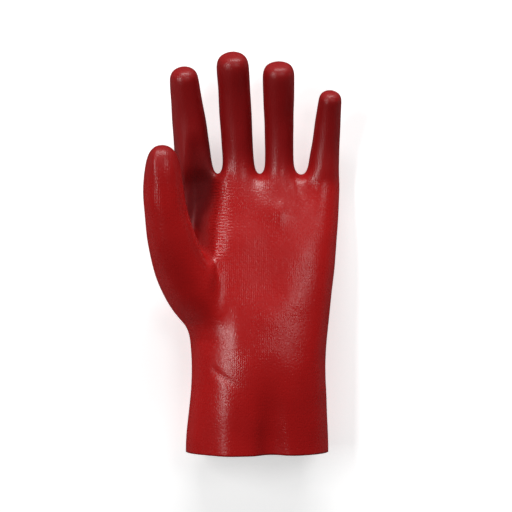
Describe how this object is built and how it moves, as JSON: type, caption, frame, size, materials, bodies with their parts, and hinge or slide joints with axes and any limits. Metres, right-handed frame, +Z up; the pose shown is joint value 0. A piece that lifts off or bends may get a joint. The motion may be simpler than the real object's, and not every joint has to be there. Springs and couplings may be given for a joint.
{
  "type": "pvc coated work glove",
  "caption": "Left-hand work glove with a smooth dipped PVC coat, lying palm up, with gently curved fingers, a forward thumb and a short gauntlet cuff open at the hem.",
  "frame": {"origin": "on the surface that the glove's back rests on, under the middle of its outline", "axes": "+X across the hand to the little finger's side, +Y from the cuff's hem to the fingertips, +Z up out of the palm"},
  "size_m": [0.1324, 0.2708, 0.0722],
  "materials": {
    "coat": "semi-gloss deep red PVC dipped over a fine cotton knit, whose stitches show faintly through it"
  },
  "bodies": {
    "root": {"glove_shell": "coat"}
  },
  "joints": []
}
